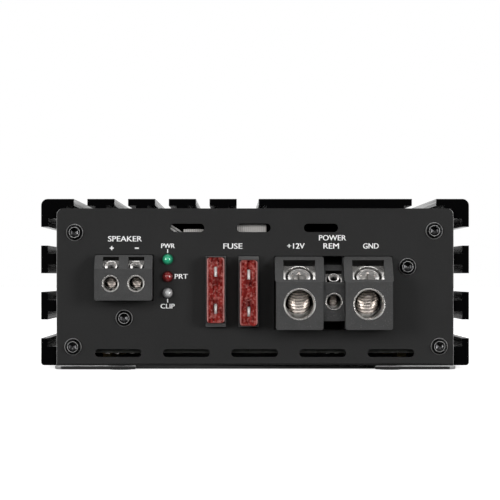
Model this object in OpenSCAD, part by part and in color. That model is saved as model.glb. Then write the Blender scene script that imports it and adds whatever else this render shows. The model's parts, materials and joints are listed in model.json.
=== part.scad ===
// Compact single-channel car amplifier.
// +Z is up, the supply and speaker end faces -Y, the signal input end faces +Y.
// The origin is the centre of the four mounting holes, on the surface the amplifier is fixed to.

/* [Case] */
// Overall width over the side fins
case_w = 126; // [124:0.5:130]
// Height of the fin tops above the mounting surface
case_h = 50; // [49:0.5:53]
// Length of the heatsink extrusion
sink_len = 170; // [160:5:220]
// Thickness of the sheet steel end panels
sheet_t = 1; // [0.8:0.1:1.2]
// Width of the end panels
panel_w = 116.8; // [114:0.2:118]
// Height of the end panels' top edge
panel_top = 47.2; // [46:0.1:47.6]
// How far the mounting tabs stand out from a panel
tab_depth = 8; // [7.8:0.1:9]

/* [Fins] */
// Width of a top fin's cap
fin_cap_w = 8; // [7:0.1:8.2]
// Thickness of the fins' caps
fin_cap_t = 2; // [1.6:0.1:2.2]
// Thickness of the fins' stems
fin_stem_w = 3.3; // [2.6:0.1:3.6]
// Distance between top fins
fin_pitch = 12; // [11.6:0.1:12]
// Distance between side fins
side_pitch = 13.65; // [13.4:0.05:13.7]

/* [Mounting] */
// Distance between mounting holes across the case
hole_spacing_x = 78.6; // [76:0.2:80]
// Radius of a mounting hole
hole_r = 2.25; // [2:0.05:2.4]

/* [Supply terminals] */
// Distance between the positive and ground wire holes
power_pitch = 20.15; // [20:0.05:21]
// Radius of a power wire hole
power_wire_r = 4.15; // [4.1:0.05:4.2]
// Travel of a power set screw
power_travel = 8; // [4:0.5:8]
// Radius of a speaker wire hole
speaker_wire_r = 2.05; // [2:0.05:2.1]
// Distance between the speaker wire holes
speaker_pitch = 7.4; // [7.3:0.05:7.6]

/* [Fuses] */
// Length of a blade fuse's head
fuse_l = 19.15; // [19:0.05:19.2]
// Thickness of a blade fuse's head
fuse_t = 5.1; // [5:0.05:5.12]
// Distance between the two fuses
fuse_pitch = 9.65; // [9.6:0.05:9.8]

/* [Controls] */
// Outer radius of an input jack's shell
jack_r = 4.15; // [4.1:0.05:4.2]
// Radius of a control knob
knob_r = 4.4; // [4:0.1:5]
// Distance between control knobs
knob_pitch = 14; // [13.5:0.5:15]
// Travel of the slide switch
switch_travel = 3.5; // [3:0.1:3.6]

/* [Hidden] */
$fn = 48;
HALF = sqrt(0.5);

// case
half_w = case_w / 2;
half_len = sink_len / 2;
panel_half = panel_w / 2;
wall_out = half_w - 5;
wall_in = wall_out - 2.5;
roof_out = case_h - 4.4;
roof_in = roof_out - 2.3;
sink_z0 = 1;
cover_z0 = 0.2;
front_y = -half_len - sheet_t;
corner_r = 1.9;
bend_r = 0.8;
fin_reach = 2.3;

// fins, as places across the top
first_fin_x = -45.4;
plate_x0 = 1.1;
plate_x1 = 46.2;
plate_t = 3;
cap_side_h = 8.15;
side_fin_z0 = 4.9;
corner_cap_x = half_w - 9.65;
corner_leg_z = side_fin_z0 + 3 * side_pitch - cap_side_h / 2;

// end panels
screw_tops = [[-53.1, 40.1], [52.6, 40.6]];
screw_feet = [[-53.6, 6.5], [54.1, 6.6]];
panel_screws = concat(screw_tops, screw_feet);
boss_r = 3;
channel_r = 1.3;
tab_inner_x = 34.8;
mid_flange = 4;
hole_out = 4;
dish_r = 3.9;
vent_z = 41.45;
vent_h = 2.4;
vent_w = 10;
vent_xs = [-19.96, -0.4, 19.4];
foot_vent_z = 4.6;
foot_vent_h = 2.2;
foot_vent_w = 13.65;
foot_vent_pitch = 20.05;

// board
board_half = 50;
board_z = 4.6;
board_top = 6.2;
spacer_x = 45;
spacer_y = 60;

// supply terminal block: depths are measured from the front panel's outer face
power_x = 22.98;
positive_x = power_x - power_pitch / 2;
ground_x = power_x + power_pitch / 2;
power_face = front_y - 8.5;
power_z0 = 11.65;
power_z1 = 33;
power_step_z = 25.55;
power_w = 14.3;
power_lower_w = 13.7;
power_wire_z = 19.1;
power_cross = power_face + 13.6;
power_bore = 3.97;
power_screw_r = 3.9;
power_window_w = 9.35;
power_window_l = 8;
power_wall = 2;
power_clamp_w = 11.6;
power_roof_t = 11.65;
power_head_t = 11.2;
power_end_t = -1.6;
power_thread = 1.25;

remote_x = power_x;
remote_face = front_y - 5.5;
remote_z0 = 14.15;
remote_z1 = 30.6;
remote_step_z = 25;
remote_wire_z = 19.84;
remote_cross = remote_face + 9.56;
remote_wire_r = 2.1;
remote_bore = 1.97;
remote_screw_r = 1.9;
remote_window = 4.7;
remote_clamp_w = 5.2;
remote_roof_t = 9;
remote_head_t = 9.9;
remote_end_t = -0.75;
fine_thread = 0.7;
fine_wall = 0.8;
tail_gap = 0.1;

power_base_x0 = 4.2;
power_base_x1 = 48.2;
power_base_z1 = 34.4;
base_back = -72.5;

// speaker terminal block
speaker_x = -38.45;
speaker_w = 16.85;
speaker_face = front_y - 6.5;
speaker_z0 = 20.15;
speaker_z1 = 33.45;
speaker_step_z = 29.4;
speaker_wire_z = 25.1;
speaker_cross = speaker_face + 7.94;
speaker_bore = 2.22;
speaker_screw_r = 2.15;
speaker_window_w = 4.62;
speaker_window_l = 4.75;
speaker_clamp_w = 5.8;
speaker_roof_t = 7.1;
speaker_head_t = 7.3;
speaker_end_t = -0.55;
fixing_screws = [[-38.55, 14.9], [44.75, 30.05]];

// lamps
lamp_x = -25.7;
lamp_zs = [32.25, 27.1, 22.3];
lamp_r = 1.5;
lamp_board_y = front_y + 5;
lamp_plug_x0 = -21.1;
lamp_plug_top = 41.1;

// fuses
left_fuse_x = -11.55;
right_fuse_x = left_fuse_x + fuse_pitch;
left_fuse_z = 23.15;
right_fuse_z = 22.35;
holder_z = 22.75;
holder_h = 20.8;
holder_w = 5.9;
holder_face = front_y - 2;
holder_back = -69.5;
fuse_face = front_y - 5;
fuse_head_l = 5.5;
fuse_body_l = 12;
blade_dz = 5.2;
blade_w = 5;
blade_t = 0.65;
blade_end = fuse_face + 18.6;
fuse_gap = 0.08;
contact_y0 = fuse_face + 12.6;
contact_y1 = blade_end + 1.6;

// rear controls, as places along X
rear_y = half_len + sheet_t;
jack_xs = [40, 25];
jack_z = 22;
jack_neck_r = jack_r - 0.3;
jack_inner_r = jack_r - 0.65;
jack_end_y = rear_y + 9.4;
knob_z = 22;
knob_x0 = 8;
switch_x = -32;
switch_z = 22;
port_x = -44;
port_z = 22;
port_w = 9.8;
port_h = 6.8;
knob_front = rear_y + 9.5;
pot_bore = 1.56;
shaft_r = 1.5;

// ---------- helpers ----------

// Points of an arc from angle a0 to a1
function arc(cx, cy, r, a0, a1, n = 6) =
    [for (i = [0:n]) let (a = a0 + (a1 - a0) * i / n) [cx + r * cos(a), cy + r * sin(a)]];

// Outline of a rectangle with rounded corners
function round_rect(x0, y0, x1, y1, r) =
    concat(arc(x1 - r, y1 - r, r, 0, 90), arc(x0 + r, y1 - r, r, 90, 180),
           arc(x0 + r, y0 + r, r, 180, 270), arc(x1 - r, y0 + r, r, 270, 360));

// An X-Z outline drawn out along Y from y0 to y1
module along_y(y0, y1) {
    translate([0, y1, 0]) rotate([90, 0, 0]) linear_extrude(height = y1 - y0) children();
}

// A Y-Z outline drawn out along X from x0 to x1
module along_x(x0, x1) {
    translate([x0, 0, 0]) rotate([90, 0, 90]) linear_extrude(height = x1 - x0) children();
}

// A box between two corners
module block(low, high) {
    translate(low) cube([high[0] - low[0], high[1] - low[1], high[2] - low[2]]);
}

// A rod along Y from y0 to y1
module rod_y(x, z, y0, y1, r) {
    translate([x, y1, z]) rotate([90, 0, 0]) cylinder(h = y1 - y0, r = r);
}

// A straight lead between two points, in the plane of one X
module lead(x, from, to, r) {
    dy = to[0] - from[0];
    dz = to[1] - from[1];
    translate([x, from[0], from[1]]) rotate([atan2(-dy, dz), 0, 0]) {
        cylinder(h = sqrt(dy * dy + dz * dz), r = r, $fn = 24);
    }
}

// A frame at a terminal's crossing point, with +Z up along the set screw
module on_screw_axis(x, cross, wire_z) {
    translate([x, cross, wire_z]) rotate([45, 0, 0]) children();
}

// ---------- case ----------

module top_fin_outline(x) {
    translate([x - fin_cap_w / 2, case_h - fin_cap_t]) square([fin_cap_w, fin_cap_t]);
    translate([x - fin_stem_w / 2, roof_out - 1]) square([fin_stem_w, case_h - roof_out]);
}

module wide_plate_outline() {
    translate([plate_x0, case_h - fin_cap_t]) square([plate_x1 - plate_x0, fin_cap_t]);
    translate([plate_x0 + fin_reach, case_h - plate_t]) {
        square([plate_x1 - plate_x0 - 2 * fin_reach, plate_t]);
    }
    rib_span = plate_x1 - plate_x0 - 2 * fin_reach - fin_stem_w;
    for (i = [0:3]) {
        translate([plate_x0 + fin_reach + i * rib_span / 3, roof_out - 1]) {
            square([fin_stem_w, case_h - plate_t - roof_out + 2]);
        }
    }
}

// Right-hand side: corner cap, two T fins and the solid foot fin
module side_outline() {
    polygon(concat([[half_w - fin_cap_t, case_h - fin_cap_t], [half_w - fin_cap_t, corner_leg_z],
                    [half_w, corner_leg_z]],
                   arc(half_w - corner_r, case_h - corner_r, corner_r, 0, 90),
                   [[corner_cap_x, case_h], [corner_cap_x, case_h - fin_cap_t]]));
    solid_x = corner_cap_x + fin_reach;
    solid_z = side_fin_z0 + 3 * side_pitch - fin_stem_w / 2;
    translate([solid_x, solid_z]) {
        square([half_w - fin_cap_t - solid_x + 0.5, case_h - fin_cap_t - solid_z + 0.5]);
    }
    for (i = [1, 2]) {
        z = side_fin_z0 + i * side_pitch;
        translate([half_w - fin_cap_t, z - cap_side_h / 2]) square([fin_cap_t, cap_side_h]);
        translate([wall_out - 1, z - fin_stem_w / 2]) square([half_w - wall_out, fin_stem_w]);
    }
    foot_r = 0.9;
    foot_top = side_fin_z0 + cap_side_h / 2;
    polygon(concat([[half_w, foot_top], [half_w - fin_cap_t, foot_top], [half_w - fin_cap_t, sink_z0]],
                   arc(half_w - foot_r, sink_z0 + foot_r, foot_r, -90, 0)));
    translate([wall_out - 1, sink_z0]) {
        square([half_w - wall_out - fin_cap_t + 1.5, side_fin_z0 + fin_stem_w / 2 - sink_z0]);
    }
}

module sink_outline() {
    difference() {
        union() {
            difference() {
                translate([-wall_out, sink_z0]) square([2 * wall_out, roof_out - sink_z0]);
                translate([-wall_in, sink_z0 - 1]) square([2 * wall_in, roof_in - sink_z0 + 1]);
            }
            for (i = [0:3]) top_fin_outline(first_fin_x + i * fin_pitch);
            wide_plate_outline();
            side_outline();
            mirror([1, 0]) side_outline();
            for (p = panel_screws) {
                translate(p) circle(r = boss_r);
                edge = sign(p[0]) * (wall_in + 0.5);
                translate([min(p[0], edge), p[1] - 1.5]) square([abs(edge - p[0]), 3]);
            }
        }
        for (p = panel_screws) translate(p) circle(r = channel_r);
    }
}

module heatsink() {
    color([0.05, 0.05, 0.05])
    difference() {
        along_y(-half_len, half_len) sink_outline();
        for (side = [-1, 1]) {
            for (y = bar_screw_ys) {
                translate([side * (wall_in - 1), y, bar_z]) rotate([0, 90 * side, 0]) {
                    cylinder(h = bar_screw_bite + 1.2, r = 1.3, $fn = 24);
                }
            }
            for (y = cover_screw_ys) {
                translate([side * cover_screw_x, y, sink_z0 - 1]) cylinder(h = 6, r = 1.05, $fn = 24);
            }
        }
    }
}

// Plate with its bend and flange, as seen from the side, for the end at -Y
module end_plate_section() {
    centre_y = front_y - bend_r;
    top_z = cover_z0 + sheet_t;
    polygon(concat([[front_y, panel_top], [front_y + sheet_t, panel_top]],
                   arc(centre_y, top_z + bend_r, bend_r + sheet_t, 0, -90),
                   [[front_y - tab_depth, cover_z0], [front_y - tab_depth, top_z]],
                   arc(centre_y, top_z + bend_r, bend_r, -90, 0)));
}

// Dished seat round a mounting hole, pressed a little below the flange
module dish() {
    top_z = cover_z0 + sheet_t;
    rotate_extrude() {
        polygon([[hole_r, 0], [dish_r - 0.9, 0], [dish_r, cover_z0], [dish_r, top_z],
                 [dish_r - 0.2, top_z], [hole_r + 0.5, top_z - 0.65], [hole_r, top_z - 0.7]]);
    }
}

// End panel at -Y; children are X-Z outlines cut through the plate
module end_panel() {
    hole_y = front_y - hole_out;
    edge = panel_half + 1;
    difference() {
        along_x(-panel_half, panel_half) end_plate_section();
        // rounded top corners
        for (side = [-1, 1]) {
            along_y(front_y - 1, front_y + sheet_t + 1) {
                polygon(concat([[side * edge, panel_top + 1],
                                [side * (panel_half - corner_r), panel_top + 1]],
                               [for (p = arc(panel_half - corner_r, panel_top - corner_r, corner_r, 90, 0))
                                [side * p[0], p[1]]],
                               [[side * edge, panel_top - corner_r]]));
            }
            // rounded outer corners of the tabs
            tab_r = 3;
            tab_y = front_y - tab_depth;
            translate([0, 0, -1]) linear_extrude(height = 4) {
                polygon(concat([[side * edge, tab_y - 1], [side * (panel_half - tab_r), tab_y - 1]],
                               [for (p = arc(panel_half - tab_r, tab_y + tab_r, tab_r, -90, 0))
                                [side * p[0], p[1]]],
                               [[side * edge, tab_y + tab_r]]));
            }
            translate([side * hole_spacing_x / 2, hole_y, -1]) cylinder(h = 4, r = dish_r - 0.01);
        }
        // the flange is shallower between the tabs
        block([-tab_inner_x, front_y - tab_depth - 1, -1], [tab_inner_x, front_y - mid_flange, 2]);
        along_y(front_y - 1, front_y + sheet_t + 1) {
            for (p = panel_screws) translate(p) circle(r = 1.6, $fn = 24);
            children();
        }
    }
    for (side = [-1, 1]) translate([side * hole_spacing_x / 2, hole_y, 0]) dish();
}

module vent(x, z, w, h) {
    polygon(round_rect(x - w / 2, z - h / 2, x + w / 2, z + h / 2, h / 2 - 0.02));
}

module front_panel() {
    color([0.18, 0.18, 0.18]) end_panel() {
        for (x = vent_xs) vent(x, vent_z, vent_w, vent_h);
        for (i = [-2:2]) vent(i * foot_vent_pitch - 0.15, foot_vent_z, foot_vent_w, foot_vent_h);
        for (p = fixing_screws) translate(p) circle(r = 1.6, $fn = 24);
        for (z = lamp_zs) translate([lamp_x, z]) circle(r = lamp_r + 0.1);
        for (x = [left_fuse_x, right_fuse_x]) {
            translate([x - holder_w / 2 - 0.05, holder_z - holder_h / 2 - 0.05]) {
                square([holder_w + 0.1, holder_h + 0.1]);
            }
        }
        translate([speaker_x - speaker_w / 2 - 0.1, speaker_z0 - 0.1]) {
            square([speaker_w + 0.2, speaker_z1 - speaker_z0 + 0.2]);
        }
        translate([positive_x - power_w / 2 - 0.1, power_z0 - 0.1]) {
            square([power_pitch + power_w + 0.2, power_z1 - power_z0 + 0.2]);
        }
    }
}

module rear_panel() {
    color([0.18, 0.18, 0.18]) mirror([0, 1, 0]) end_panel() {
        for (i = [-2:2]) {
            vent(i * foot_vent_pitch, foot_vent_z, foot_vent_w, foot_vent_h);
            vent(i * foot_vent_pitch, vent_z - 1.5, vent_w, vent_h);
        }
        for (x = jack_xs) translate([x, jack_z]) circle(r = jack_r + 0.75);
        for (i = [0:2]) translate([knob_x0 - i * knob_pitch, knob_z]) circle(r = 2.6);
        translate([switch_x - 3.6, switch_z - 1.6]) square([7.2, 3.2]);
        translate([port_x - port_w / 2, port_z - port_h / 2]) square([port_w, port_h]);
    }
}

module bottom_cover() {
    color([0.2, 0.2, 0.2])
    difference() {
        block([-panel_half, -half_len, cover_z0], [panel_half, half_len, sink_z0]);
        for (side = [-1, 1]) {
            for (y = cover_screw_ys) {
                translate([side * cover_screw_x, y, cover_z0]) {
                    translate([0, 0, -0.01]) cylinder(h = 0.46, r1 = 1.47, r2 = 1.02, $fn = 24);
                    cylinder(h = 2, r = 1.02, $fn = 24);
                }
            }
            for (i = [-1:1]) {
                translate([side * spacer_x, i * spacer_y, cover_z0 - 1]) cylinder(h = 3, r = 1.4, $fn = 24);
            }
        }
    }
}

// ---------- fasteners ----------

// Button-head screw lying along +Y, its head standing out towards -Y from y
module button_screw(x, z, y, shank_l, head_r = 2.55, head_h = 1.5, shank_r = 1.25) {
    flat_r = 0.45 * head_r;
    rim_h = 0.4;
    dome = [for (a = [0:15:90]) [flat_r + (head_r - flat_r) * cos(a), rim_h + (head_h - rim_h) * sin(a)]];
    translate([x, y, z]) rotate([90, 0, 0]) difference() {
        union() {
            rotate_extrude() polygon(concat([[0, 0], [head_r, 0]], dome, [[0, head_h]]));
            translate([0, 0, -shank_l]) cylinder(h = shank_l + 0.1, r = shank_r, $fn = 24);
        }
        translate([0, 0, head_h - 1.1]) cylinder(h = 2, r = 1.15, $fn = 6);
    }
}

module front_panel_screws() {
    color([0.1, 0.1, 0.1]) for (p = panel_screws) button_screw(p[0], p[1], front_y, 9);
}

module rear_panel_screws() {
    color([0.1, 0.1, 0.1]) mirror([0, 1, 0]) for (p = panel_screws) button_screw(p[0], p[1], front_y, 9);
}

module terminal_fixing_screws() {
    color([0.1, 0.1, 0.1]) for (p = fixing_screws) button_screw(p[0], p[1], front_y, 7);
}

module bottom_cover_screws() {
    color([0.1, 0.1, 0.1])
    for (side = [-1, 1]) {
        for (y = cover_screw_ys) {
            translate([side * cover_screw_x, y, cover_z0]) {
                cylinder(h = 0.45, r1 = 1.45, r2 = 1, $fn = 24);
                cylinder(h = 5, r = 1, $fn = 24);
            }
        }
    }
}

module board_spacers() {
    color([0.8, 0.75, 0.5])
    for (side = [-1, 1]) {
        for (i = [-1:1]) {
            translate([side * spacer_x, i * spacer_y, 0]) difference() {
                union() {
                    translate([0, 0, sink_z0]) cylinder(h = board_z - sink_z0, r = 2.6, $fn = 6);
                    translate([0, 0, cover_z0 + 0.1]) cylinder(h = 1, r = 1.35, $fn = 24);
                }
                translate([0, 0, sink_z0 + 0.5]) cylinder(h = board_z, r = 1.1, $fn = 24);
            }
        }
    }
}

module board_screws() {
    color([0.75, 0.75, 0.78])
    for (side = [-1, 1]) {
        for (i = [-1:1]) {
            translate([side * spacer_x, i * spacer_y, 0]) difference() {
                union() {
                    translate([0, 0, board_top]) cylinder(h = 1.8, r = 2.4);
                    translate([0, 0, sink_z0 + 1]) cylinder(h = board_top - sink_z0 - 0.9, r = 1, $fn = 24);
                }
                translate([0, 0, board_top + 0.9]) cylinder(h = 2, r = 1.2, $fn = 6);
            }
        }
    }
}

// ---------- terminals ----------

// Side outline of a clamp: a box with its upper front corner cut square to the set screw
module clamp_section(face, cross, wire_z, z0, z1, back, roof_t, grow = 0) {
    rise = 2 * (roof_t + grow) * HALF;
    f = face - grow;
    top = z1 + grow;
    low = z0 - grow;
    polygon([[f, low], [f, wire_z + rise + f - cross], [cross + top - wire_z - rise, top],
             [back + grow, top], [back + grow, low]]);
}

// Two solder tails under a clamp, or, with a gap, the room for them
module solder_tails(x, w, back, low, high, gap = 0) {
    for (side = [-1, 1]) {
        tail_x = x + side * w / 4;
        block([tail_x - 0.6 - gap, back - 1.6 - gap, low], [tail_x + 0.6 + gap, back - 0.4 + gap, high]);
    }
}

// Metal clamp block with a collar round its wire hole, a screw bore and solder tails
module clamp(x, w, face, wall, cross, wire_z, z0, z1, back, roof_t, wire_r, bore_r, depth, lip) {
    mouth_r = bore_r + 0.75 * lip;
    difference() {
        union() {
            along_x(x - w / 2, x + w / 2) clamp_section(face, cross, wire_z, z0, z1, back, roof_t);
            rod_y(x, wire_z, face - wall, face + 0.1, wire_r + lip);
            solder_tails(x, w, back, board_z - 0.3, z0 + 1);
        }
        rod_y(x, wire_z, face - wall - 1, face + depth, wire_r);
        translate([x, face - wall, wire_z]) rotate([-90, 0, 0]) {
            translate([0, 0, -0.01]) cylinder(h = 0.7 * lip, r1 = wire_r + 0.7 * lip, r2 = wire_r);
        }
        on_screw_axis(x, cross, wire_z) {
            translate([0, 0, -0.2 * bore_r]) cylinder(h = roof_t + 20, r = bore_r);
            translate([0, 0, roof_t - 0.4 * lip]) cylinder(h = 0.4 * lip + 0.01, r1 = bore_r, r2 = mouth_r);
        }
    }
}

// Set screw with ring grooves for its thread, a hex socket in a dished end, and a chamfered tip
module set_screw(x, cross, wire_z, r, end_t, head_t, pitch, socket_r, socket_l) {
    tip = 0.3 * r;
    bevel = 0.15 * r;
    start = end_t + tip;
    turns = floor((head_t - bevel - start) / pitch);
    groove = 0.5 * pitch;
    grooves = [for (i = [0:turns - 1], k = [0:2])
               [k == 1 ? r - groove : r, start + (i + 0.2 + 0.3 * k) * pitch]];
    on_screw_axis(x, cross, wire_z) difference() {
        rotate_extrude() {
            polygon(concat([[0, end_t], [r - tip, end_t], [r, start]], grooves,
                           [[r, head_t - bevel], [r - bevel, head_t], [0, head_t]]));
        }
        translate([0, 0, head_t - socket_l]) cylinder(h = socket_l + 1, r = socket_r, $fn = 6);
        dish_h = 0.65 * (0.82 * r - socket_r);
        translate([0, 0, head_t - dish_h]) cylinder(h = dish_h + 0.01, r1 = socket_r, r2 = 0.82 * r);
    }
}

// Front part of a terminal housing: a box whose upper front edge slopes back
module nose(x0, x1, z0, z1, face, step_z) {
    intersection() {
        along_x(x0, x1) {
            polygon([[face, z0], [face, step_z], [face + z1 - step_z, z1],
                     [base_back - 5, z1], [base_back - 5, z0]]);
        }
        along_y(face - 1, base_back) polygon(round_rect(x0, z0, x1, z1, 0.6));
    }
}

// Hollow for one clamp, its wire hole, its solder tails and the window over its screw
module clamp_room(x, w, face, wall, cross, wire_z, z0, z1, back, roof_t, wire_r, lip, window_w, window_l) {
    gap = 0.06;
    along_x(x - w / 2 - gap, x + w / 2 + gap) {
        clamp_section(face + wall, cross, wire_z, z0, z1, back, roof_t, gap);
    }
    rod_y(x, wire_z, face - 1, face + wall + 0.1, wire_r + lip + gap);
    on_screw_axis(x, cross, wire_z) {
        translate([-window_w / 2, -window_l / 2, roof_t]) cube([window_w, window_l, 30]);
    }
    solder_tails(x, w, back, board_z - 1, z0 + 1, tail_gap);
}

power_clamp_z0 = power_z0 + 1.6;
power_clamp_z1 = 30.4;
power_back = -75;
power_lip = 0.48;
power_depth = power_back - 1.4 - power_face - power_wall;

module power_clamp(x) {
    clamp(x, power_clamp_w, power_face + power_wall, power_wall, power_cross, power_wire_z,
          power_clamp_z0, power_clamp_z1, power_back, power_roof_t, power_wire_r, power_bore,
          power_depth, power_lip);
}

module power_room(x) {
    clamp_room(x, power_clamp_w, power_face, power_wall, power_cross, power_wire_z, power_clamp_z0,
               power_clamp_z1, power_back, power_roof_t, power_wire_r, power_lip,
               power_window_w, power_window_l);
}

module power_set_screw(x) {
    set_screw(x, power_cross, power_wire_z, power_screw_r, power_end_t, power_head_t, power_thread, 2.3, 5);
}

remote_clamp_z0 = 16.4;
remote_clamp_z1 = 28.6;
remote_back = -78.4;
fine_lip = 0.42;

module supply_terminal_housing() {
    color([0.28, 0.28, 0.28])
    difference() {
        union() {
            block([power_base_x0, front_y + sheet_t + 0.05, board_top],
                  [power_base_x1, base_back, power_base_z1]);
            for (x = [positive_x, ground_x]) {
                lower = power_lower_w / 2;
                upper = power_w / 2;
                nose(x - lower, x + lower, power_z0, power_z1, power_face, power_step_z);
                nose(x - upper, x + upper, power_step_z, power_z1, power_face + 0.01, power_step_z);
            }
            nose(positive_x + power_lower_w / 2 - 1, ground_x - power_lower_w / 2 + 1, remote_z0, remote_z1,
                 remote_face, remote_step_z);
        }
        power_room(positive_x);
        power_room(ground_x);
        clamp_room(remote_x, remote_clamp_w, remote_face, fine_wall, remote_cross, remote_wire_z,
                   remote_clamp_z0, remote_clamp_z1, remote_back, remote_roof_t, remote_wire_r, fine_lip,
                   remote_window, remote_window);
        rod_y(fixing_screws[1][0], fixing_screws[1][1], front_y, front_y + 8, 1.3);
        // the housing falls back above and below the middle terminal
        gap_x0 = positive_x + power_w / 2 + 0.2;
        gap_x1 = ground_x - power_w / 2 - 0.2;
        block([gap_x0, front_y, remote_z1], [gap_x1, front_y + 7, power_z1 + 0.2]);
        block([gap_x0, front_y, power_z0 - 0.2], [gap_x1, front_y + 5, remote_z0]);
    }
}

module positive_clamp() {
    color([0.8, 0.78, 0.72]) power_clamp(positive_x);
}

module ground_clamp() {
    color([0.8, 0.78, 0.72]) power_clamp(ground_x);
}

module remote_clamp() {
    color([0.8, 0.78, 0.72])
    clamp(remote_x, remote_clamp_w, remote_face + fine_wall, fine_wall, remote_cross, remote_wire_z,
          remote_clamp_z0, remote_clamp_z1, remote_back, remote_roof_t, remote_wire_r, remote_bore,
          10.6, fine_lip);
}

module positive_set_screw() {
    color([0.8, 0.74, 0.68]) power_set_screw(positive_x);
}

module ground_set_screw() {
    color([0.8, 0.74, 0.68]) power_set_screw(ground_x);
}

module remote_set_screw() {
    color([0.8, 0.74, 0.68])
    set_screw(remote_x, remote_cross, remote_wire_z, remote_screw_r, remote_end_t, remote_head_t,
              fine_thread, 1.05, 2.2);
}

speaker_clamp_z0 = 21.8;
speaker_clamp_z1 = 32;
speaker_back = -81;

module speaker_room(x) {
    clamp_room(x, speaker_clamp_w, speaker_face, fine_wall, speaker_cross, speaker_wire_z, speaker_clamp_z0,
               speaker_clamp_z1, speaker_back, speaker_roof_t, speaker_wire_r, fine_lip,
               speaker_window_w, speaker_window_l);
}

module speaker_clamp(x) {
    clamp(x, speaker_clamp_w, speaker_face + fine_wall, fine_wall, speaker_cross, speaker_wire_z,
          speaker_clamp_z0, speaker_clamp_z1, speaker_back, speaker_roof_t, speaker_wire_r, speaker_bore,
          9.3, fine_lip);
}

module speaker_screw(x) {
    set_screw(x, speaker_cross, speaker_wire_z, speaker_screw_r, speaker_end_t, speaker_head_t,
              fine_thread, 1.15, 2.4);
}

module speaker_terminal_housing() {
    color([0.32, 0.32, 0.32])
    difference() {
        union() {
            block([speaker_x - 9, front_y + sheet_t + 0.05, board_top], [speaker_x + 9, -76, 34.4]);
            intersection() {
                nose(speaker_x - speaker_w / 2, speaker_x + speaker_w / 2, speaker_z0, speaker_z1,
                     speaker_face, speaker_step_z);
                block([-60, -120, 0], [0, -76, 60]);
            }
        }
        for (side = [-1, 1]) speaker_room(speaker_x + side * speaker_pitch / 2);
        rod_y(fixing_screws[0][0], fixing_screws[0][1], front_y, front_y + 8, 1.3);
    }
}

module speaker_positive_clamp() {
    color([0.8, 0.78, 0.72]) speaker_clamp(speaker_x - speaker_pitch / 2);
}

module speaker_negative_clamp() {
    color([0.8, 0.78, 0.72]) speaker_clamp(speaker_x + speaker_pitch / 2);
}

module speaker_positive_screw() {
    color([0.8, 0.74, 0.68]) speaker_screw(speaker_x - speaker_pitch / 2);
}

module speaker_negative_screw() {
    color([0.8, 0.74, 0.68]) speaker_screw(speaker_x + speaker_pitch / 2);
}

// ---------- fuses ----------

// Holder with a pocket for the fuse and a room for each of its two contacts
module fuse_holder(x, fuse_z) {
    pocket_x = fuse_t / 2 + fuse_gap;
    pocket_z = fuse_l / 2 + fuse_gap;
    color([0.25, 0.25, 0.25])
    difference() {
        union() {
            block([x - holder_w / 2, holder_face, holder_z - holder_h / 2],
                  [x + holder_w / 2, front_y + 3, holder_z + holder_h / 2]);
            block([x - 4.4, front_y + sheet_t + 0.05, board_top], [x + 4.4, holder_back, 34.4]);
        }
        block([x - pocket_x, holder_face - 1, fuse_z - pocket_z],
              [x + pocket_x, fuse_face + 12.2, fuse_z + pocket_z]);
        for (side = [-1, 1]) {
            z = fuse_z + side * blade_dz;
            block([x - 1.3, fuse_face + 12, z - 2.8], [x + 1.3, contact_y1 + 0.1, z + 2.8]);
            block([x - 0.5, contact_y1, z - 1.3], [x + 0.5, holder_back + 1, z + 1.3]);
        }
    }
}

// Two spring clips, each a pair of leaves joined behind the blade, with a tail out of the holder
module fuse_clips(x, fuse_z) {
    gap = blade_t / 2 + 0.06;
    color([0.85, 0.8, 0.6])
    for (side = [-1, 1]) {
        z = fuse_z + side * blade_dz;
        for (leaf = [-1, 1]) {
            block([x + (leaf < 0 ? -1.2 : gap), contact_y0, z - 2.7],
                  [x + (leaf < 0 ? -gap : 1.2), contact_y1, z + 2.7]);
        }
        block([x - 1.2, contact_y1 - 1, z - 2.7], [x + 1.2, contact_y1, z + 2.7]);
        block([x - 0.4, contact_y1 - 0.5, z - 1.2], [x + 0.4, holder_back + 1.5, z + 1.2]);
    }
}

// Clear moulded body: a head to grip and a narrower part round the blades, slotted for the element
module fuse_body(x, fuse_z) {
    slot = blade_t / 2 + 0.02;
    half_t = fuse_t / 2;
    half_l = fuse_l / 2;
    color([0.75, 0.12, 0.1, 0.6])
    difference() {
        union() {
            along_y(fuse_face, fuse_face + fuse_head_l) {
                polygon(round_rect(x - half_t, fuse_z - half_l, x + half_t, fuse_z + half_l, 0.9));
            }
            along_y(fuse_face + fuse_head_l, fuse_face + fuse_body_l) {
                polygon(round_rect(x - 2, fuse_z - 8.2, x + 2, fuse_z + 8.2, 0.5));
            }
        }
        block([x - slot, fuse_face + 0.7, fuse_z - 7.75],
              [x + slot, fuse_face + fuse_body_l + 1, fuse_z + 7.75]);
        for (side = [-1, 1]) {
            z = fuse_z + side * 5.4;
            block([x - 0.45, fuse_face - 1, z - 1.45], [x + 0.45, fuse_face + 0.8, z + 1.45]);
        }
    }
}

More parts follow.
